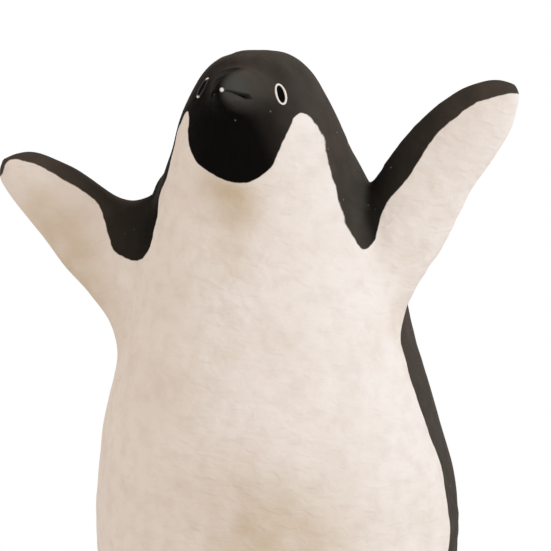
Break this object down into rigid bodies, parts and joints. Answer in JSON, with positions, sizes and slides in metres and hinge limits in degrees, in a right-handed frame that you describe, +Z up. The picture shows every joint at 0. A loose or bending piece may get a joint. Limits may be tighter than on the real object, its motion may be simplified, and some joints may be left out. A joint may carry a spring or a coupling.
{
  "type": "penguin figurine",
  "caption": "Free-standing hollow paper penguin ornament with both wings raised, on an inner stick frame with a plaster weight and a flat closing disc.",
  "frame": {"origin": "middle of the flat underside of the closing disc, on the table", "axes": "+Z up; the penguin faces -Y and its own left wing is on +X"},
  "size_m": [0.151, 0.1258, 0.182],
  "materials": {
    "white_painted_paper": "matte",
    "black_painted_paper": "matte",
    "bare_paper": "matte",
    "bare_wood": "matte",
    "plaster": "matte",
    "grey_card": "matte",
    "black_painted_pulp": "satin",
    "white_line_paint": "matte",
    "pink_painted_pulp": "matte"
  },
  "bodies": {
    "root": {"front_shell": "white_painted_paper", "back_shell": "black_painted_paper", "seam_band": "bare_paper", "closing_disc": "bare_wood", "plaster_weight": "plaster", "spine_post": "bare_wood", "shoulder_board": "bare_wood", "left_wing_card": "grey_card", "left_wing_front_skin": "white_painted_paper", "left_wing_back_skin": "black_painted_paper", "left_wing_dowel": "bare_wood", "right_wing_card": "grey_card", "right_wing_front_skin": "white_painted_paper", "right_wing_back_skin": "black_painted_paper", "right_wing_dowel": "bare_wood", "upper_beak": "black_painted_pulp", "lower_beak": "black_painted_pulp", "beak_peg": "bare_wood", "left_eye_ring": "white_line_paint", "right_eye_ring": "white_line_paint", "left_foot": "pink_painted_pulp", "right_foot": "pink_painted_pulp", "left_foot_peg": "bare_wood", "right_foot_peg": "bare_wood", "tail": "black_painted_paper", "tail_peg": "bare_wood"}
  },
  "joints": []
}
